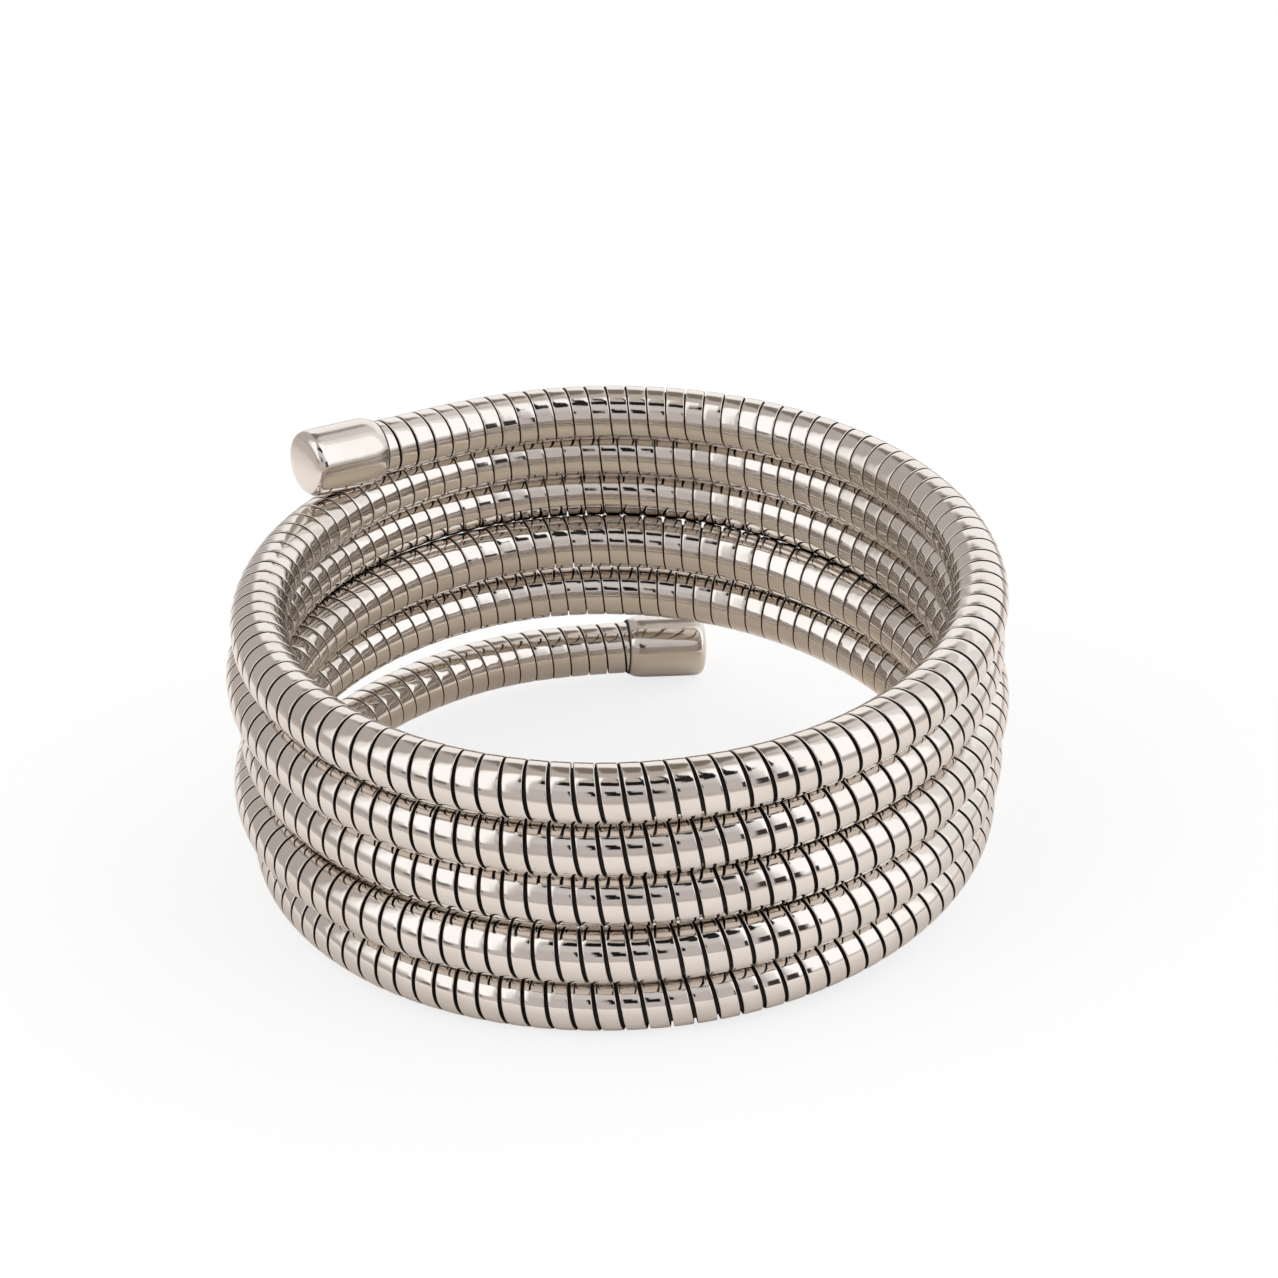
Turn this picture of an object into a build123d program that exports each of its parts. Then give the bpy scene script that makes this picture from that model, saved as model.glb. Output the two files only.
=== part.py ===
"""A wrap bracelet: one long springy tube, wound from metal strip, coiled five times and capped at both ends.

The coil is laid out about its own axis, starting at the back of its top turn and going down clockwise as seen
from above. It is then leaned onto what it rests on, with the origin below its middle.
"""
from build123d import *
import math
import os

os.makedirs("parts", exist_ok=True)

# Sizes in millimetres, angles in degrees
tube_diameter = 5.0
tube_wall = 0.6
coil_radius = 31.9

turn_clearance = 0.04

cap_wall = 0.55
cap_length = 8.0
cap_end_wall = 1.0
cap_end_round = 1.0
cap_shoulder = 1.6
cap_lip_wall = 0.15
cap_clearance = 0.05
cap_rest_gap = 0.2
cap_seat = cap_length - cap_end_wall - cap_clearance

upper_end_lift = cap_clearance + cap_wall + cap_rest_gap
upper_seat_angle = -0.8
lower_end_sag = 0.6
lower_seat_angle = 14.5

first_corner_angle = -26.0
last_corner_angle = 1714.0
corner_step = 15.0
corner_ease_share = 0.45

lean_back_angle = 4.0
lean_side_angle = 1.9

# Each turn's centreline radius beyond the coil radius, in shares of the tube's diameter
STATIONS_A_TURN = 4
SPREAD = [
    # back, right, front, left
    [-0.24, 0.04, 0.17, -0.09],
    [0.15, 0.04, 0.05, 0.05],
    [0.42, 0.18, 0.00, -0.16],
    [-0.19, 0.09, 0.10, 0.00],
    [-0.15, 0.02, -0.17, -0.31],
    [-0.23],
]

# The gap to the turn above beyond the clearance, from the second turn on, in shares of the tube's diameter
GAP = [
    # back, right, front, left
    [0.08, 0.01, 0.11, 0.10],
    [0.03, 0.17, 0.01, 0.01],
    [0.00, 0.01, 0.07, 0.11],
    [0.09, 0.01, 0.19, 0.21],
    [0.03],
]

# How far the top turn rides above an even descent, in shares of the tube's diameter
TOP_TURN_LIFT = [0.0, 0.09, 0.05, -0.03, 0.0]

# The runs by which the ends leave the coil: turn towards its inside, and length in shares of the coil radius
UPPER_END = [
    # turn, length
    [15.3, 0.23],
]
LOWER_END = [
    # turn, length
    [16.4, 0.34],
    [20.5, 0.34],
    [15.0, 0.34],
    [19.5, 0.34],
]


def flat(table):
    """The table's values in one row, in order along the coil."""
    return [value for row in table for value in row]


def between(values, place):
    """The smooth curve through evenly spaced values, at a place counted in spaces from the first."""
    before = 2 * values[0] - values[1]
    after = 2 * values[-1] - values[-2]
    padded = [before, *values, after]
    index = min(max(math.floor(place), 0), len(values) - 2)
    t = place - index
    a, b, c, d = padded[index : index + 4]
    return b + t * (c - a + t * (2 * a - 5 * b + 4 * c - d + t * (3 * (b - c) + d - a))) / 2


def station(angle):
    """An angle along the coil, counted in table columns."""
    return angle * STATIONS_A_TURN / 360


def centre_radius(angle):
    """Distance of the tube's centreline from the coil's axis."""
    return coil_radius + tube_diameter * between(flat(SPREAD), station(angle))


def drop_to(angle):
    """How far the turn here lies below the one above, which it rests against."""
    gap = tube_diameter * max(between(flat(GAP), station(angle - 360)), 0)
    reach = tube_diameter + turn_clearance + gap
    step_out = centre_radius(angle) - centre_radius(angle - 360)
    return math.sqrt(reach**2 - step_out**2)


def centre_height(angle):
    """Height of the tube's centreline from the back of the top turn, where it is zero."""
    if angle < 360:
        return tube_diameter * between(TOP_TURN_LIFT, station(angle)) - drop_to(360) * angle / 360
    return centre_height(angle - 360) - drop_to(angle)


def coil_corners():
    """Corners whose runs touch the centreline at their middles."""
    corners = []
    angle = first_corner_angle
    while angle <= last_corner_angle:
        radius = centre_radius(angle) / math.cos(math.radians(corner_step / 2))
        x = radius * math.sin(math.radians(angle))
        y = radius * math.cos(math.radians(angle))
        corners.append(Vector(x, y, centre_height(angle)))
        angle += corner_step
    return corners


def end_runs(table, seat_angle):
    """The turn and length of each run of an end, the last of them straight for as long as the cap's seat."""
    runs = [(turn, share * coil_radius) for turn, share in table]
    last_length = runs[-1][1]
    return [*runs, (seat_angle, cap_seat + corner_ease_share * last_length)]


def end_corners(inner, last, runs, turn_sign, extra_climb):
    """Corners of an end that goes on from the last corner, with the coil's own slope and a little more."""
    heading = math.atan2(last.Y - inner.Y, last.X - inner.X)
    coil_slope = drop_to(360) / (2 * math.pi * coil_radius)
    climb = turn_sign * (coil_slope + extra_climb / sum(length for turn, length in runs))
    corners = []
    for turn, length in runs:
        heading += turn_sign * math.radians(turn)
        last = last + Vector(math.cos(heading), math.sin(heading), climb) * length
        corners.append(last)
    return corners


def tube_corners():
    """The whole route of the tube, from its upper end to its lower end."""
    coil = coil_corners()
    upper = end_corners(coil[1], coil[0], end_runs(UPPER_END, upper_seat_angle), 1, upper_end_lift)
    lower = end_corners(coil[-2], coil[-1], end_runs(LOWER_END, lower_seat_angle), -1, lower_end_sag)
    return [*reversed(upper), *coil, *lower]


def bend_radii(corners):
    """The largest bend at each corner that its two runs leave room for."""
    radii = []
    for before, corner, after in zip(corners, corners[1:], corners[2:]):
        turn = math.radians((corner - before).get_angle(after - corner))
        shorter = min((corner - before).length, (after - corner).length)
        radii.append(corner_ease_share * shorter / math.tan(turn / 2))
    return radii


def tube(route):
    """The wound tube as a plain hollow one, along its whole route."""
    start = Plane(origin=route @ 0, z_dir=route % 0)
    bore_diameter = tube_diameter - 2 * tube_wall
    section = Circle(tube_diameter / 2) - Circle(bore_diameter / 2)
    return sweep(start * section, path=route)


def end_cap(tip, outward):
    """A cup over the tube's tip, rounded at its closed end and drawn in to the tube by a sloping shoulder."""
    closed_end = tip + outward * (cap_clearance + cap_end_wall)
    end_plane = Plane(origin=closed_end, z_dir=-outward)
    bore_radius = tube_diameter / 2 + cap_clearance
    outer_radius = bore_radius + cap_wall
    body_length = cap_length - cap_shoulder
    on_base = (Align.CENTER, Align.CENTER, Align.MIN)
    body = Cylinder(outer_radius, body_length, align=on_base)
    shoulder = Cone(outer_radius, bore_radius + cap_lip_wall, cap_shoulder, align=on_base)
    cup = body + Pos(Z=body_length) * shoulder
    closed_rim = cup.edges().filter_by(GeomType.CIRCLE).sort_by(Axis.Z)[0]
    cup = fillet(closed_rim, cap_end_round)
    bore_depth = cap_length - cap_end_wall
    bore = Cylinder(bore_radius, bore_depth, align=on_base)
    return end_plane * (cup - Pos(Z=cap_end_wall) * bore)


corners = tube_corners()
radii = bend_radii(corners)
route = FilletPolyline(*corners, radius=radii)
print("bend radii from", round(min(radii), 1), "to", round(max(radii), 1), "in all", len(radii))
print("length along the tube", round(route.length, 1))

pieces = {
    "wound_tube": tube(route),
    "upper_end_cap": end_cap(route @ 0, -(route % 0)),
    "lower_end_cap": end_cap(route @ 1, route % 1),
}

expected_volume = math.pi * tube_wall * (tube_diameter - tube_wall) * route.length
print("tube volume", round(pieces["wound_tube"].volume, 1), "section times length", round(expected_volume, 1))

lean = Rot(Y=lean_side_angle) * Rot(X=lean_back_angle)
leaned = {name: lean * piece for name, piece in pieces.items()}
box = Compound(list(leaned.values())).bounding_box()
to_origin = Pos(-box.center().X, -box.center().Y, -box.min.Z)
for name, piece in leaned.items():
    export_step(to_origin * piece, f"parts/{name}.step")
print("overall size", box.size)
print("moved to rest by", to_origin.position)
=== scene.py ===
"""A wrap bracelet: one springy tube wound from metal strip, coiled five times, with a cap on each end."""

import math

import bpy
import numpy as np
from mathutils import Matrix, Vector


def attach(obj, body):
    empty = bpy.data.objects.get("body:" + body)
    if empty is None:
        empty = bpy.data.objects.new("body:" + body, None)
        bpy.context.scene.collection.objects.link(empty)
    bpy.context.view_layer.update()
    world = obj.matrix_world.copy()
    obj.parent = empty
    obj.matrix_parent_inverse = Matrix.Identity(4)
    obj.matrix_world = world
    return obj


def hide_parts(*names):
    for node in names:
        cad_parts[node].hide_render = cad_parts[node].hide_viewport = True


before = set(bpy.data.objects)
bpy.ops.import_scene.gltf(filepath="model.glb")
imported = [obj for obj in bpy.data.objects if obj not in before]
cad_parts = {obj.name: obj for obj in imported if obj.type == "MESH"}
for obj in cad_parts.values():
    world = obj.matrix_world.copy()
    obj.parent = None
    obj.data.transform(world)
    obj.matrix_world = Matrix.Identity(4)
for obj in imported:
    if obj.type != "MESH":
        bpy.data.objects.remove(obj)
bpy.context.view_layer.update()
bpy.ops.object.select_all(action="DESELECT")

# The camera
# It looks down on the coil from in front, about 34 cm from the coil's middle. Its place, turn and lens were
# fitted together, until the outlines of the turns lay on those in the photograph.
MM = 0.001
camera_place = Vector((4.774, -301.098, 170.535)) * MM
camera_turn = [math.radians(angle) for angle in (63.55, 1.82, -0.37)]
camera_lens = 105.66
camera_sensor_width = 36.0

bpy.ops.object.camera_add(location=camera_place, rotation=camera_turn)
camera = bpy.context.object
camera.name = "camera"
camera.data.lens = camera_lens
camera.data.sensor_width = camera_sensor_width
camera.data.clip_start, camera.data.clip_end = 0.01, 20.0
bpy.context.scene.camera = camera

# The tube's route
# The whole coil is one spring. Its turns lie on each other, each a little wider or narrower than the next,
# and both ends leave the coil on the inside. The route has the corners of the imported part's own tube.
tube_diameter = 5.0 * MM
coil_radius = 31.9 * MM
turn_clearance = 0.04 * MM
cap_length = 8.0 * MM
cap_end_wall = 1.0 * MM
cap_clearance = 0.05 * MM
cap_wall = 0.55 * MM
cap_rest_gap = 0.2 * MM
cap_seat = cap_length - cap_end_wall - cap_clearance
upper_end_lift = cap_clearance + cap_wall + cap_rest_gap
upper_seat_angle = -0.8
lower_end_sag = 0.6 * MM
lower_seat_angle = 14.5
first_corner_angle = -26.0
last_corner_angle = 1714.0
corner_step = 15.0
corner_ease_share = 0.45
lean_back_angle = 4.0
lean_side_angle = 1.9
rest_shift = Vector((0.0678, -2.1821, 28.7508)) * MM

# Each turn's centreline radius beyond the coil radius, in shares of the tube's diameter
STATIONS_A_TURN = 4
SPREAD = [
    # back, right, front, left
    [-0.24, 0.04, 0.17, -0.09],
    [0.15, 0.04, 0.05, 0.05],
    [0.42, 0.18, 0.00, -0.16],
    [-0.19, 0.09, 0.10, 0.00],
    [-0.15, 0.02, -0.17, -0.31],
    [-0.23],
]

# The gap to the turn above beyond the clearance, from the second turn on, in shares of the tube's diameter
GAP = [
    # back, right, front, left
    [0.08, 0.01, 0.11, 0.10],
    [0.03, 0.17, 0.01, 0.01],
    [0.00, 0.01, 0.07, 0.11],
    [0.09, 0.01, 0.19, 0.21],
    [0.03],
]

# How far the top turn rides above an even descent, in shares of the tube's diameter
TOP_TURN_LIFT = [0.0, 0.09, 0.05, -0.03, 0.0]

# The runs by which the ends leave the coil: turn towards its inside, and length in shares of the coil radius
UPPER_END = [
    # turn, length
    [15.3, 0.23],
]
LOWER_END = [
    # turn, length
    [16.4, 0.34],
    [20.5, 0.34],
    [15.0, 0.34],
    [19.5, 0.34],
]

# A curve of this order touches each run between two corners at its middle
ROUTE_ORDER = 3
POINTS_A_RUN = 16


def flat(table):
    """The table's values in one row, in order along the coil."""
    return [value for row in table for value in row]


def between(values, place):
    """The smooth curve through evenly spaced values, at a place counted in spaces from the first."""
    before = 2 * values[0] - values[1]
    after = 2 * values[-1] - values[-2]
    padded = [before, *values, after]
    index = min(max(math.floor(place), 0), len(values) - 2)
    t = place - index
    a, b, c, d = padded[index : index + 4]
    return b + t * (c - a + t * (2 * a - 5 * b + 4 * c - d + t * (3 * (b - c) + d - a))) / 2


def station(angle):
    """An angle along the coil, counted in table columns."""
    return angle * STATIONS_A_TURN / 360


def centre_radius(angle):
    """Distance of the tube's centreline from the coil's axis."""
    return coil_radius + tube_diameter * between(flat(SPREAD), station(angle))


def drop_to(angle):
    """How far the turn here lies below the one above, which it rests against."""
    gap = tube_diameter * max(between(flat(GAP), station(angle - 360)), 0)
    reach = tube_diameter + turn_clearance + gap
    step_out = centre_radius(angle) - centre_radius(angle - 360)
    return math.sqrt(reach**2 - step_out**2)


def centre_height(angle):
    """Height of the tube's centreline from the back of the top turn, where it is zero."""
    if angle < 360:
        return tube_diameter * between(TOP_TURN_LIFT, station(angle)) - drop_to(360) * angle / 360
    return centre_height(angle - 360) - drop_to(angle)


def coil_corners():
    """Corners whose runs touch the centreline at their middles."""
    corners = []
    angle = first_corner_angle
    while angle <= last_corner_angle:
        radius = centre_radius(angle) / math.cos(math.radians(corner_step / 2))
        x = radius * math.sin(math.radians(angle))
        y = radius * math.cos(math.radians(angle))
        corners.append(Vector((x, y, centre_height(angle))))
        angle += corner_step
    return corners


def end_runs(table, seat_angle):
    """The turn and length of each run of an end, the last of them straight for as long as the cap's seat."""
    runs = [(turn, share * coil_radius) for turn, share in table]
    last_length = runs[-1][1]
    return [*runs, (seat_angle, cap_seat + corner_ease_share * last_length)]


def end_corners(inner, last, runs, turn_sign, extra_climb):
    """Corners of an end that goes on from the last corner, with the coil's own slope and a little more."""
    heading = math.atan2(last.y - inner.y, last.x - inner.x)
    coil_slope = drop_to(360) / (2 * math.pi * coil_radius)
    climb = turn_sign * (coil_slope + extra_climb / sum(length for turn, length in runs))
    corners = []
    for turn, length in runs:
        heading += turn_sign * math.radians(turn)
        last = last + Vector((math.cos(heading), math.sin(heading), climb)) * length
        corners.append(last)
    return corners


def tube_corners():
    """The whole route of the tube, from its upper end to its lower end."""
    coil = coil_corners()
    upper = end_corners(coil[1], coil[0], end_runs(UPPER_END, upper_seat_angle), 1, upper_end_lift)
    lower = end_corners(coil[-2], coil[-1], end_runs(LOWER_END, lower_seat_angle), -1, lower_end_sag)
    return [*reversed(upper), *coil, *lower]


def leaned_corners():
    """The corners as the bracelet stands, leaned onto what it rests on, in the row frame."""
    lean_to_side = Matrix.Rotation(math.radians(lean_side_angle), 3, "Y")
    lean_back = Matrix.Rotation(math.radians(lean_back_angle), 3, "X")
    lean = lean_to_side @ lean_back
    return [lean @ corner + rest_shift for corner in tube_corners()]


corners = leaned_corners()
route_data = bpy.data.curves.new("tube_route", "CURVE")
route_data.dimensions = "3D"
route_spline = route_data.splines.new("NURBS")
route_spline.points.add(len(corners) - 1)
for point, corner in zip(route_spline.points, corners):
    point.co = (*corner, 1.0)
route_spline.order_u = ROUTE_ORDER
route_spline.use_endpoint_u = True
route_data.resolution_u = POINTS_A_RUN
route_data.twist_mode = "Z_UP"
route = bpy.data.objects.new("tube_route", route_data)
bpy.context.collection.objects.link(route)
bpy.context.view_layer.update()
route_mesh = bpy.data.meshes.new_from_object(route)
route_points = np.zeros(len(route_mesh.vertices) * 3)
route_mesh.vertices.foreach_get("co", route_points)
route_points = route_points.reshape(-1, 3)
bpy.data.meshes.remove(route_mesh)
route_steps = np.diff(route_points, axis=0)
route_step_lengths = np.linalg.norm(route_steps, axis=1)
route_distance = np.concatenate([[0.0], np.cumsum(route_step_lengths)])
route_length = float(route_distance[-1])

# The wound strip
# A flat-topped metal strip, plated and polished, wound edge to edge into the tube with its edges turned in to
# hold the next winding. The windings keep their width round a bend, so the grooves open on its outside.
windings = 546
tip_clearance = 0.1 * MM
pieces_along = 5
steps_round = 44
winding_pitch = (route_length - 2 * tip_clearance) / (windings + 1)
band_width = 1.70 * MM
band_half = band_width / 2
band_radius = 2.525 * MM
groove_radius = 2.05 * MM
groove_bottom_margin = 0.1 * MM
least_groove = 0.11 * MM
strip_profile = [
    # along the tube from the band's middle, out from the tube's centreline, in mm
    (-0.850, 2.05),
    (-0.850, 2.435),
    (-0.835, 2.480),
    (-0.800, 2.506),
    (-0.750, 2.514),
    (-0.400, 2.522),
    (0.000, 2.525),
    (0.400, 2.522),
    (0.750, 2.514),
    (0.800, 2.506),
    (0.835, 2.480),
    (0.850, 2.435),
    (0.850, 2.05),
]
bend_blur_points = 16
merge_distance = 0.002 * MM
least_radius = 0.01 * MM
crease_angle = math.radians(50)

# Each winding sits a little deeper and is tipped a little, by chance, at two places a winding
uneven_rise = 0.006 * MM
uneven_tilt = 0.014
uneven_count = 2 * windings + 8
uneven_places = np.arange(uneven_count) / 2 - 1
uneven_random = np.random.default_rng(11)
uneven_rises = uneven_random.uniform(-uneven_rise, 0, uneven_count)
uneven_tilts = uneven_random.uniform(-uneven_tilt, uneven_tilt, uneven_count)


def route_bend(distance):
    """How sharply the route bends, as one over the bend's radius, at each distance along it."""
    heading = route_steps / route_step_lengths[:, None]
    across = heading[:-1, 0] * heading[1:, 1] - heading[:-1, 1] * heading[1:, 0]
    spacing = (route_step_lengths[:-1] + route_step_lengths[1:]) / 2
    bend = np.convolve(-across / spacing, np.ones(bend_blur_points) / bend_blur_points, mode="same")
    return np.interp(distance, route_distance[1:-1], bend)


def drawn_line(points):
    """A line drawn corner by corner, from one merged square."""
    bpy.ops.object.select_all(action="DESELECT")
    bpy.ops.mesh.primitive_plane_add(size=MM)
    line = bpy.context.object
    bpy.ops.object.mode_set(mode="EDIT")
    bpy.ops.mesh.select_all(action="SELECT")
    bpy.ops.mesh.merge(type="CENTER")
    bpy.ops.transform.translate(value=points[0])
    for here, there in zip(points, points[1:]):
        bpy.ops.mesh.extrude_region_move(TRANSFORM_OT_translate={"value": there - here})
    bpy.ops.object.mode_set(mode="OBJECT")
    return line


def wind(line, count):
    """The line wound round the X axis by so many turns, closed at both ends, as one shell."""
    screw = line.modifiers.new("wind", "SCREW")
    screw.axis = "X"
    screw.angle = 2 * math.pi
    screw.screw_offset = winding_pitch
    screw.iterations = count
    screw.steps = screw.render_steps = steps_round
    bpy.ops.object.modifier_apply(modifier="wind")
    bpy.ops.object.mode_set(mode="EDIT")
    bpy.ops.mesh.select_all(action="SELECT")
    bpy.ops.mesh.remove_doubles(threshold=merge_distance)
    middle = count * winding_pitch / 2
    for at_start in (True, False):
        bpy.ops.mesh.select_all(action="DESELECT")
        bpy.ops.mesh.select_non_manifold()
        bpy.ops.object.mode_set(mode="OBJECT")
        vertices, edges = line.data.vertices, line.data.edges
        open_end = [vertex.select and (vertex.co.x < middle) == at_start for vertex in vertices]
        edges.foreach_set("select", [False] * len(edges))
        vertices.foreach_set("select", open_end)
        bpy.ops.object.mode_set(mode="EDIT")
        bpy.ops.mesh.extrude_region_move()
        bpy.ops.mesh.merge(type="CENTER")
    bpy.ops.mesh.select_all(action="SELECT")
    bpy.ops.mesh.normals_make_consistent(inside=False)
    bpy.ops.mesh.select_all(action="DESELECT")
    bpy.ops.object.mode_set(mode="OBJECT")


def set_windings(mesh, first):
    """The straight windings moved to their places along the route, uneven and no wider than bends allow."""
    co = np.zeros(len(mesh.vertices) * 3)
    mesh.vertices.foreach_get("co", co)
    co = co.reshape(-1, 3)
    round_angle = np.arctan2(co[:, 2], co[:, 1])
    radius = np.maximum(np.hypot(co[:, 1], co[:, 2]), least_radius)
    start_angle = round_angle[np.argmin(co[:, 0])]
    winding_share = (round_angle - start_angle) / (2 * math.pi)
    number = np.round(co[:, 0] / winding_pitch - winding_share)
    offset = co[:, 0] - winding_pitch * (number + winding_share)
    along = number + winding_share + first + 0.5
    distance = along * winding_pitch
    stretch = 1 + radius * np.cos(round_angle) * route_bend(distance)
    width = np.minimum(band_width, winding_pitch * stretch - least_groove)
    rise = np.interp(along, uneven_places, uneven_rises)
    rise += offset * np.interp(along, uneven_places, uneven_tilts)
    risen_radius = radius + rise * (radius > groove_radius + groove_bottom_margin)
    co[:, 0] = distance + offset * width / band_width / stretch
    co[:, 1] *= risen_radius / radius
    co[:, 2] *= risen_radius / radius
    mesh.vertices.foreach_set("co", co.ravel())
    for key, values in (
        ("along", along),
        ("across", offset / band_half),
        ("depth", (band_radius - radius) / (band_radius - groove_radius)),
    ):
        attribute = mesh.attributes.new(key, "FLOAT", "POINT")
        attribute.data.foreach_set("value", values.astype(np.float32))
    mesh.update()


def wound_turn(name, first, count):
    """A length of the wound tube, from one winding to another, laid along the route."""
    points = [Vector((u * MM, 0, r * MM)) for u, r in strip_profile]
    turn = drawn_line([*points, points[0] + Vector((winding_pitch, 0, 0))])
    turn.name = turn.data.name = name
    wind(turn, count)
    set_windings(turn.data, first)
    follow = turn.modifiers.new("follow", "CURVE")
    follow.object = route
    follow.deform_axis = "POS_X"
    bpy.ops.object.modifier_apply(modifier="follow")
    bpy.ops.object.shade_smooth_by_angle(angle=crease_angle)
    return turn


# The plating's wear and painted shade: noise scales count over a metre, and along and across a band for the
# scratches
tarnish_scale = 140
tarnish_detail = 5
tarnish_unevenness = 0.6
tarnish_from, tarnish_full = 0.45, 0.75
scratch_scale = 9
scratch_detail = 3
scratch_share = 0.05
ripple_scale = 420
ripple_detail = 2
relief_height = 0.03 * MM
# Painted shade: deep in the grooves and at the caps' mouths the colour turns near-black, matt and less
# metallic
painted_shade_from, painted_shade_full = 0.08, 0.18
painted_shade_roughness = 0.7
painted_shade_metal = 0.3


def mixed_color(nodes, links, factor, *colors):
    """A colour between two, each of them a plain colour or what another node puts out."""
    mix = nodes.new("ShaderNodeMix")
    mix.data_type = "RGBA"
    links.new(factor, mix.inputs["Factor"])
    for socket, color in zip((mix.inputs[6], mix.inputs[7]), colors):
        if isinstance(color, tuple):
            socket.default_value = color
        else:
            links.new(color, socket)
    return mix.outputs[2]


def plating_wear_and_shade_group():
    """Shared by the strip and the caps: soft patches of tarnish, fine scratches, and painted shade in the
    hollows, a near-black, matt, less metallic colour where the surface lies deep.
    """
    group = bpy.data.node_groups.new("plating_wear_and_shade", "ShaderNodeTree")
    for name, kind, side, value in (
        ("Plating", "NodeSocketColor", "INPUT", (0.75, 0.705, 0.662, 1)),
        ("Tarnish", "NodeSocketColor", "INPUT", (0.69, 0.635, 0.578, 1)),
        ("Painted_shade", "NodeSocketColor", "INPUT", (0.02, 0.015, 0.012, 1)),
        ("Hollow", "NodeSocketFloat", "INPUT", 0.0),
        ("Along", "NodeSocketFloat", "INPUT", 0.0),
        ("Across", "NodeSocketFloat", "INPUT", 0.0),
        ("Polish", "NodeSocketFloat", "INPUT", 0.05),
        ("Dullness", "NodeSocketFloat", "INPUT", 0.12),
        ("Color", "NodeSocketColor", "OUTPUT", None),
        ("Roughness", "NodeSocketFloat", "OUTPUT", None),
        ("Metal", "NodeSocketFloat", "OUTPUT", None),
        ("Normal", "NodeSocketVector", "OUTPUT", None),
    ):
        socket = group.interface.new_socket(name=name, in_out=side, socket_type=kind)
        if value is not None:
            socket.default_value = value
    nodes, links = group.nodes, group.links
    inputs = nodes.new("NodeGroupInput").outputs
    outputs = nodes.new("NodeGroupOutput").inputs

    def noise(scale, detail, place):
        node = nodes.new("ShaderNodeTexNoise")
        node.inputs["Scale"].default_value = scale
        node.inputs["Detail"].default_value = detail
        links.new(place, node.inputs["Vector"])
        return node

    place = nodes.new("ShaderNodeTexCoord").outputs["Object"]
    tarnish = noise(tarnish_scale, tarnish_detail, place)
    tarnish.inputs["Roughness"].default_value = tarnish_unevenness
    tarnish_mask = nodes.new("ShaderNodeMapRange")
    tarnish_mask.inputs["From Min"].default_value = tarnish_from
    tarnish_mask.inputs["From Max"].default_value = tarnish_full
    links.new(tarnish.outputs["Fac"], tarnish_mask.inputs["Value"])

    # Painted shade, rising with how deep the surface lies
    painted_shade_mask = nodes.new("ShaderNodeMapRange")
    painted_shade_mask.interpolation_type = "SMOOTHSTEP"
    painted_shade_mask.inputs["From Min"].default_value = painted_shade_from
    painted_shade_mask.inputs["From Max"].default_value = painted_shade_full
    links.new(inputs["Hollow"], painted_shade_mask.inputs["Value"])

    clean = mixed_color(nodes, links, tarnish_mask.outputs["Result"], inputs["Plating"], inputs["Tarnish"])
    color = mixed_color(nodes, links, painted_shade_mask.outputs["Result"], clean, inputs["Painted_shade"])
    links.new(color, outputs["Color"])

    polish = nodes.new("ShaderNodeMix")
    links.new(tarnish_mask.outputs["Result"], polish.inputs["Factor"])
    links.new(inputs["Polish"], polish.inputs[2])
    links.new(inputs["Dullness"], polish.inputs[3])
    roughness = nodes.new("ShaderNodeMix")
    roughness.inputs[3].default_value = painted_shade_roughness
    links.new(painted_shade_mask.outputs["Result"], roughness.inputs["Factor"])
    links.new(polish.outputs[0], roughness.inputs[2])
    links.new(roughness.outputs[0], outputs["Roughness"])

    metal = nodes.new("ShaderNodeMapRange")
    metal.inputs["To Min"].default_value = 1.0
    metal.inputs["To Max"].default_value = painted_shade_metal
    links.new(painted_shade_mask.outputs["Result"], metal.inputs["Value"])
    links.new(metal.outputs["Result"], outputs["Metal"])

    on_band = nodes.new("ShaderNodeCombineXYZ")
    links.new(inputs["Along"], on_band.inputs["X"])
    links.new(inputs["Across"], on_band.inputs["Y"])
    scratches = noise(scratch_scale, scratch_detail, on_band.outputs["Vector"])
    ripples = noise(ripple_scale, ripple_detail, place)
    relief = nodes.new("ShaderNodeMath")
    relief.operation = "MULTIPLY_ADD"
    relief.inputs[1].default_value = scratch_share
    links.new(scratches.outputs["Fac"], relief.inputs[0])
    links.new(ripples.outputs["Fac"], relief.inputs[2])
    bump = nodes.new("ShaderNodeBump")
    bump.inputs["Strength"].default_value = 1.0
    bump.inputs["Distance"].default_value = relief_height
    links.new(relief.outputs["Value"], bump.inputs["Height"])
    links.new(bump.outputs["Normal"], outputs["Normal"])
    return group


plating_wear_and_shade = plating_wear_and_shade_group()


def plated_metal(name):
    """A metal that takes its colour, polish, relief and painted shade from a plating_wear_and_shade node, and
    that node.
    """
    material = bpy.data.materials.new(name)
    material.use_nodes = True
    nodes, links = material.node_tree.nodes, material.node_tree.links
    shader = nodes["Principled BSDF"]
    wear_and_shade = nodes.new("ShaderNodeGroup")
    wear_and_shade.node_tree = plating_wear_and_shade
    links.new(wear_and_shade.outputs["Color"], shader.inputs["Base Color"])
    links.new(wear_and_shade.outputs["Roughness"], shader.inputs["Roughness"])
    links.new(wear_and_shade.outputs["Metal"], shader.inputs["Metallic"])
    links.new(wear_and_shade.outputs["Normal"], shader.inputs["Normal"])
    return material, wear_and_shade


def read_attributes(material, wear_and_shade, *sockets):
    """Values that a piece's mesh carries, fed into the wear and the painted shade."""
    for key, socket in sockets:
        attribute = material.node_tree.nodes.new("ShaderNodeAttribute")
        attribute.attribute_name = key
        material.node_tree.links.new(attribute.outputs["Fac"], wear_and_shade.inputs[socket])


strip_metal, strip_wear_and_shade = plated_metal("wound_strip_metal")
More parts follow.
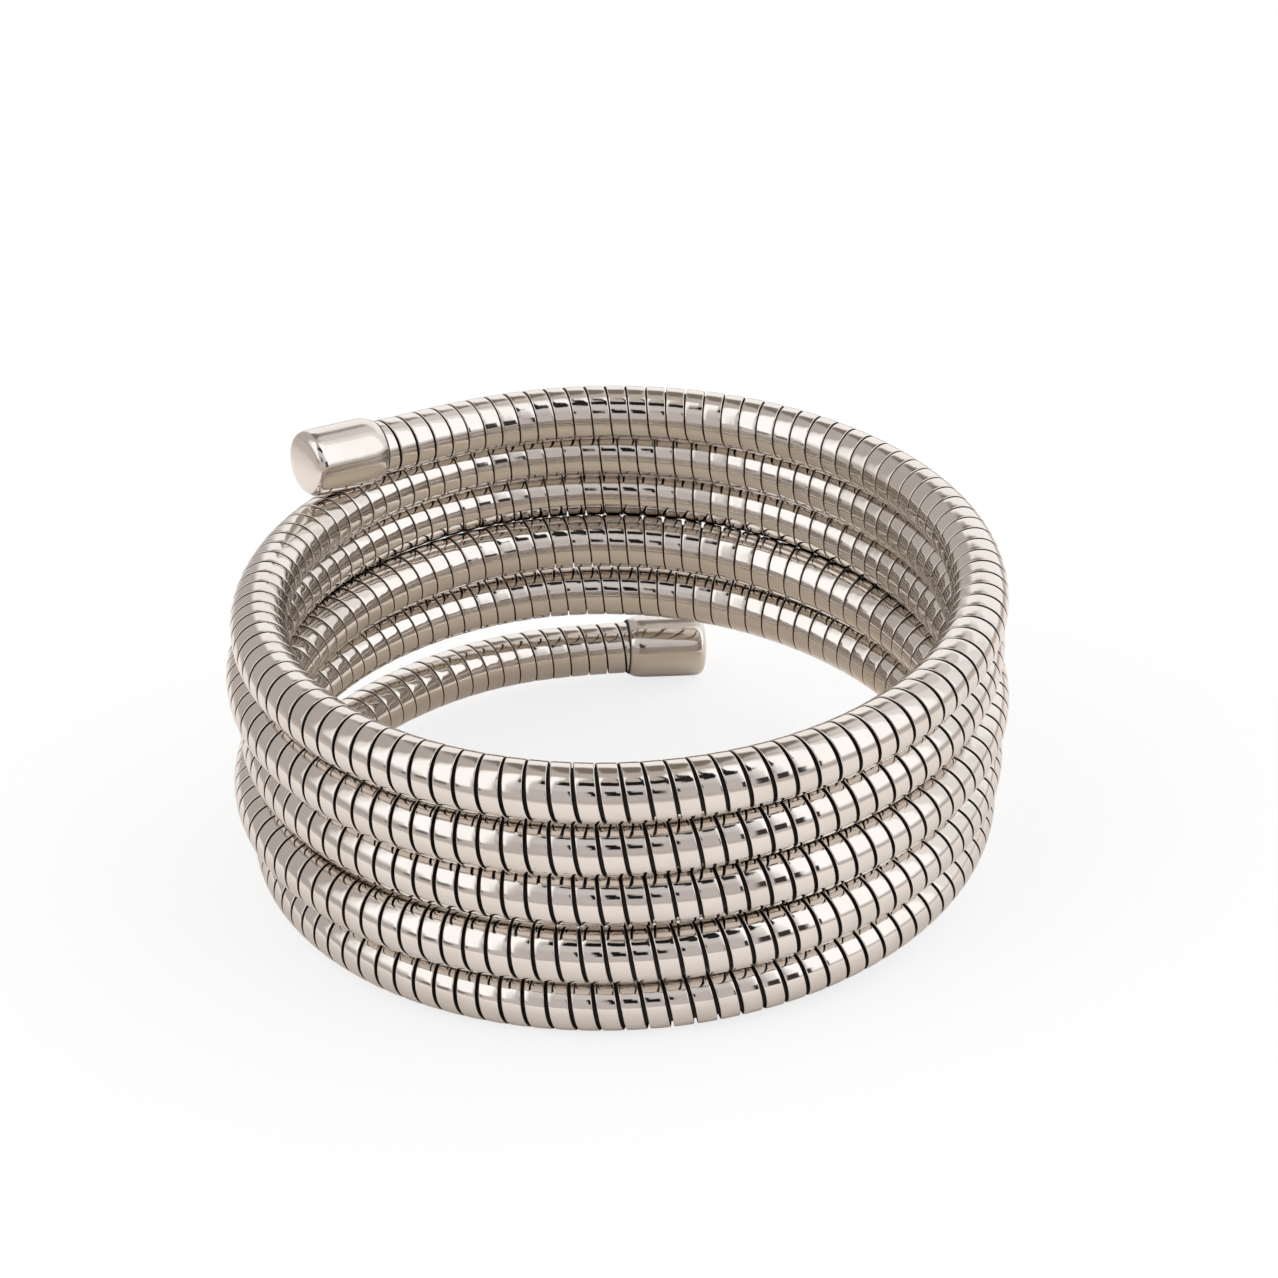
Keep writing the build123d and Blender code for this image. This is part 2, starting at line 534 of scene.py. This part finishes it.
# The depth darkens the grooves and the turned-in edges of the bands with painted shade
read_attributes(strip_metal, strip_wear_and_shade, ("depth", "Hollow"), ("along", "Along"), ("across", "Across"))
spare_windings = windings % pieces_along
first = 0
for piece in range(pieces_along):
    count = windings // pieces_along + (piece < spare_windings)
    turn = wound_turn(f"wound_strip_turn_{piece + 1}", first, count)
    turn.data.materials.append(strip_metal)
    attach(turn, "root")
    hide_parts("wound_tube")
    turn.select_set(False)
    first += count

# The end caps
# Each end of the tube is closed by a turned cup of the same plated metal, pressed on over the last windings.
# Its closed end is softly domed, and its mouth is drawn in to the tube.
cap_profile = [
    # in from the closed end, out from the axis, in mm
    (0.00, 0.0),
    (0.03, 1.0),
    (0.08, 1.7),
    (0.16, 2.25),
    (0.27, 2.60),
    (0.43, 2.84),
    (0.65, 2.99),
    (0.92, 3.06),
    (1.25, 3.10),
    (1.80, 3.10),
    (4.00, 3.10),
    (6.00, 3.10),
    (6.50, 3.09),
    (6.95, 3.03),
    (7.30, 2.93),
    (7.60, 2.80),
    (7.82, 2.69),
    (7.94, 2.62),
    (7.96, 2.585),
    (7.93, 2.557),
    (7.60, 2.552),
    (1.20, 2.55),
    (1.02, 2.40),
    (1.00, 1.20),
    (1.00, 0.0),
]
cap_steps_round = 48
cap_smoothing = 2
cap_polish = 0.10
cap_dullness = 0.20
# Painted shade: a dark ring round the cap's mouth, where the shadow gap to the tube falls
mouth_painted_shade_start = 7.45 * MM
mouth_painted_shade_reach = 0.40 * MM
mouth_painted_shade_most = 0.2


def cap_metal():
    """The same plating with a softer polish, its scratches counted in millimetres over the cap."""
    material, wear_and_shade = plated_metal("end_cap_metal")
    nodes, links = material.node_tree.nodes, material.node_tree.links
    wear_and_shade.inputs["Polish"].default_value = cap_polish
    wear_and_shade.inputs["Dullness"].default_value = cap_dullness
    read_attributes(material, wear_and_shade, ("depth", "Hollow"))
    place = nodes.new("ShaderNodeTexCoord")
    in_mm = nodes.new("ShaderNodeVectorMath")
    in_mm.operation = "SCALE"
    in_mm.inputs["Scale"].default_value = 1 / MM
    links.new(place.outputs["Object"], in_mm.inputs[0])
    over_cap = nodes.new("ShaderNodeSeparateXYZ")
    links.new(in_mm.outputs["Vector"], over_cap.inputs["Vector"])
    links.new(over_cap.outputs["X"], wear_and_shade.inputs["Along"])
    links.new(over_cap.outputs["Z"], wear_and_shade.inputs["Across"])
    return material


def end_cap(name, tip, outward):
    """A cup turned about the X axis, then set over the tube's tip."""
    cap = drawn_line([Vector((x * MM, 0, r * MM)) for x, r in cap_profile])
    cap.name = cap.data.name = name
    screw = cap.modifiers.new("turn", "SCREW")
    screw.axis = "X"
    screw.steps = screw.render_steps = cap_steps_round
    bpy.ops.object.modifier_apply(modifier="turn")
    bpy.ops.object.mode_set(mode="EDIT")
    bpy.ops.mesh.select_all(action="SELECT")
    bpy.ops.mesh.remove_doubles(threshold=merge_distance)
    bpy.ops.mesh.normals_make_consistent(inside=False)
    bpy.ops.object.mode_set(mode="OBJECT")
    smooth = cap.modifiers.new("smooth", "SUBSURF")
    smooth.levels = smooth.render_levels = cap_smoothing
    bpy.ops.object.modifier_apply(modifier="smooth")

    co = np.zeros(len(cap.data.vertices) * 3)
    cap.data.vertices.foreach_get("co", co)
    # The depth attribute carries the painted shade, rising towards the mouth
    from_closed_end = co[::3]
    mouth_painted_shade = mouth_painted_shade_most * np.clip((from_closed_end - mouth_painted_shade_start) / mouth_painted_shade_reach, 0, 1)
    depth = cap.data.attributes.new("depth", "FLOAT", "POINT")
    depth.data.foreach_set("value", mouth_painted_shade.astype(np.float32))

    cap.rotation_mode = "QUATERNION"
    cap.rotation_quaternion = (-outward).to_track_quat("X", "Z")
    cap.location = tip + outward * (cap_clearance + cap_end_wall)
    bpy.ops.object.transform_apply(location=True, rotation=True, scale=True)
    bpy.ops.object.shade_smooth()
    return cap


cap_material = cap_metal()
for name, node, tip, inner in (
    ("upper_cap_cup", "upper_end_cap", corners[0], corners[1]),
    ("lower_cap_cup", "lower_end_cap", corners[-1], corners[-2]),
):
    cap = end_cap(name, tip, (tip - inner).normalized())
    cap.data.materials.append(cap_material)
    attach(cap, "root")
    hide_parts(node)
    cap.select_set(False)

# The floor
# A sheet of matt white paper, lying flat and loose below the bracelet. The polished metal mirrors it darker
# and creamy below the coil, where its tone holds painted shade from the coil, paler round it and greyer
# farther off. Seen straight on, it is nearly white all over.
floor_size = 2.4
paper_roughness = 0.8
# Painted shade: the darker, warmer tone the metal mirrors from the paper below the coil
paper_shaded_below_coil = (0.76, 0.67, 0.56, 1)
PAPER_RINGS = [
    # distance from the middle where the tone starts and where it is full, in metres, and the tone
    (0.024, 0.036, (0.90, 0.86, 0.835, 1)),
    (0.11, 0.17, (0.52, 0.48, 0.46, 1)),
]
paper_seen = (0.9, 0.9, 0.9, 1)
paper_glow = (1, 1, 1, 1)
paper_glow_share = 0.78


def floor_paper():
    """Paper toned in rings for what mirrors it, with painted shade below the coil, and plain and glowing a
    little for the camera.
    """
    material = bpy.data.materials.new("floor_paper")
    material.use_nodes = True
    nodes, links = material.node_tree.nodes, material.node_tree.links
    shader = nodes["Principled BSDF"]
    shader.inputs["Roughness"].default_value = paper_roughness
    shader.inputs["Specular IOR Level"].default_value = 0.0
    place = nodes.new("ShaderNodeTexCoord")
    reach = nodes.new("ShaderNodeVectorMath")
    reach.operation = "LENGTH"
    links.new(place.outputs["Object"], reach.inputs[0])
    tone = paper_shaded_below_coil
    for start, full, ring_tone in PAPER_RINGS:
        ring = nodes.new("ShaderNodeMapRange")
        ring.inputs["From Min"].default_value = start
        ring.inputs["From Max"].default_value = full
        links.new(reach.outputs["Value"], ring.inputs["Value"])
        tone = mixed_color(nodes, links, ring.outputs["Result"], tone, ring_tone)
    to_camera = nodes.new("ShaderNodeLightPath").outputs["Is Camera Ray"]
    links.new(mixed_color(nodes, links, to_camera, tone, paper_seen), shader.inputs["Base Color"])
    glow = nodes.new("ShaderNodeEmission")
    glow.inputs["Color"].default_value = paper_glow
    share = nodes.new("ShaderNodeMath")
    share.operation = "MULTIPLY"
    share.inputs[1].default_value = paper_glow_share
    links.new(to_camera, share.inputs[0])
    mixed = nodes.new("ShaderNodeMixShader")
    links.new(share.outputs[0], mixed.inputs["Fac"])
    links.new(shader.outputs["BSDF"], mixed.inputs[1])
    links.new(glow.outputs["Emission"], mixed.inputs[2])
    links.new(mixed.outputs["Shader"], nodes["Material Output"].inputs["Surface"])
    return material


bpy.ops.mesh.primitive_plane_add(size=floor_size)
floor = bpy.context.object
floor.name = "floor"
floor.data.materials.append(floor_paper())

# The light
# The bracelet stands in a light tent, with a big soft light on each side and a boom, a lamp and two stands in
# front. The polished metal mirrors them all. Three large soft lights, which it doesn't mirror, fill the tent.
studio_wall = (0.56, 0.52, 0.50, 1)
STUDIO = [
    # azimuth from and to (from the front, to the right), height from and to, softness of its sides and of its
    # top and bottom, red, green, blue
    ("right_wall", 60, 200, -90, 90, 60, 10, 0.61, 0.585, 0.575),
    ("right_wall_top", 60, 200, 28, 90, 60, 16, 0.82, 0.79, 0.77),
    ("overhead", -200, 200, 66, 100, 10, 14, 0.62, 0.57, 0.53),
    ("back_paper", 120, 240, -90, 38, 20, 6, 1.16, 1.15, 1.14),
    ("back_paper_left", -240, -165, -90, 38, 10, 6, 1.16, 1.15, 1.14),
    ("back_gloom", 162, 240, 42, 72, 16, 10, 0.25, 0.215, 0.185),
    ("back_gloom_left", -240, -166, 42, 72, 16, 10, 0.25, 0.215, 0.185),
    ("front_wall", -50, 60, -90, 55, 6, 10, 0.65, 0.61, 0.60),
    ("front_wall_top", -50, 60, 34, 55, 6, 10, 0.74, 0.72, 0.71),
    ("left_light_edge", -94, -34, 13, 84, 12, 10, 1.06, 1.04, 1.02),
    ("left_light", -82, -38, 20, 80, 12, 8, 1.34, 1.36, 1.38),
    ("left_light_foot", -58, -38, 12, 24, 6, 4, 1.34, 1.36, 1.38),
    ("right_light_edge", 40, 120, 2, 82, 12, 8, 1.02, 1.01, 1.00),
    ("right_light", 47, 98, 6, 78, 8, 8, 1.35, 1.36, 1.38),
    ("boom", -27, 34, 56, 69, 3, 2, 0.01, 0.01, 0.01),
    ("boom_head", 28, 50, 54, 84, 4, 3, 0.02, 0.02, 0.02),
    ("boom_arm", 22, 44, 50, 64, 3, 2, 0.02, 0.02, 0.02),
    ("front_lamp", -6, 12, 18, 30, 3, 3, 0.01, 0.01, 0.01),
    ("front_lamp_top", -9, 2, 26, 35, 3, 3, 0.01, 0.01, 0.01),
    ("right_stand", 36, 50, -12, 18, 3, 3, 0.05, 0.047, 0.045),
    ("left_stand", -61, -46, 2, 9, 4, 3, 0.20, 0.19, 0.185),
]
FILLS = [
    # the light's middle in metres, the way it faces, its width and height in metres, its brightness
    ("left_fill", (-0.62, -0.3, 0.50), (1, 0, 0), 1.7, 0.92, 0.66),
    ("right_fill", (0.62, 0.05, 0.55), (-1, 0, 0), 1.6, 1.02, 0.50),
    ("overhead_fill", (0, 0.1, 1.6), (0, 0, -1), 2.2, 2.2, 0.38),
]


def studio_world():
    """The tent, drawn as soft-edged patches of the world round the bracelet, each over the ones before it."""
    world = bpy.data.worlds.new("studio")
    world.use_nodes = True
    nodes, links = world.node_tree.nodes, world.node_tree.links

    def math_node(operation, *values):
        node = nodes.new("ShaderNodeMath")
        node.operation = operation
        for socket, value in zip(node.inputs, values):
            if isinstance(value, (int, float)):
                socket.default_value = value
            else:
                links.new(value, socket)
        return node.outputs[0]

    def inside(value, start, end, softness):
        """One between start and end, falling softly to zero on both sides."""
        rise = nodes.new("ShaderNodeMapRange")
        fall = nodes.new("ShaderNodeMapRange")
        for node, edge, way in ((rise, start, 1), (fall, end, -1)):
            node.interpolation_type = "SMOOTHSTEP"
            node.inputs["From Min"].default_value = edge - way * softness / 2
            node.inputs["From Max"].default_value = edge + way * softness / 2
            links.new(value, node.inputs["Value"])
        return math_node("MULTIPLY", rise.outputs["Result"], fall.outputs["Result"])

    place = nodes.new("ShaderNodeTexCoord")
    parts = nodes.new("ShaderNodeSeparateXYZ")
    links.new(place.outputs["Generated"], parts.inputs["Vector"])
    x, y, z = parts.outputs["X"], parts.outputs["Y"], parts.outputs["Z"]
    azimuth = math_node("DEGREES", math_node("ARCTAN2", x, math_node("MULTIPLY", y, -1)))
    height = math_node("DEGREES", math_node("ARCSINE", z))
    color = studio_wall
    for name, start, end, low, high, side_softness, edge_softness, *tint in STUDIO:
        across = inside(azimuth, start, end, side_softness)
        upright = inside(height, low, high, edge_softness)
        color = mixed_color(nodes, links, math_node("MULTIPLY", across, upright), color, (*tint, 1))
        color.node.name = name
    links.new(color, nodes["Background"].inputs["Color"])
    # The metal meets the patches by mirroring them, so they aren't sought out as lights as well
    world.cycles.sampling_method = "NONE"
    return world


def soft_fill(name, place, facing, width, height, brightness):
    """A large soft light that brightens the bracelet and the paper, and that the metal doesn't mirror."""
    bpy.ops.object.light_add(type="AREA", location=place)
    light = bpy.context.object
    light.name = name
    light.rotation_euler = (-Vector(facing)).to_track_quat("Z", "Y").to_euler()
    light.data.shape = "RECTANGLE"
    light.data.size, light.data.size_y = width, height
    light.data.energy = brightness * math.pi * width * height
    light.visible_glossy = False


bpy.context.scene.world = studio_world()
bpy.context.scene.view_settings.view_transform = "Standard"
for fill in FILLS:
    soft_fill(*fill)

bpy.data.objects.remove(route)
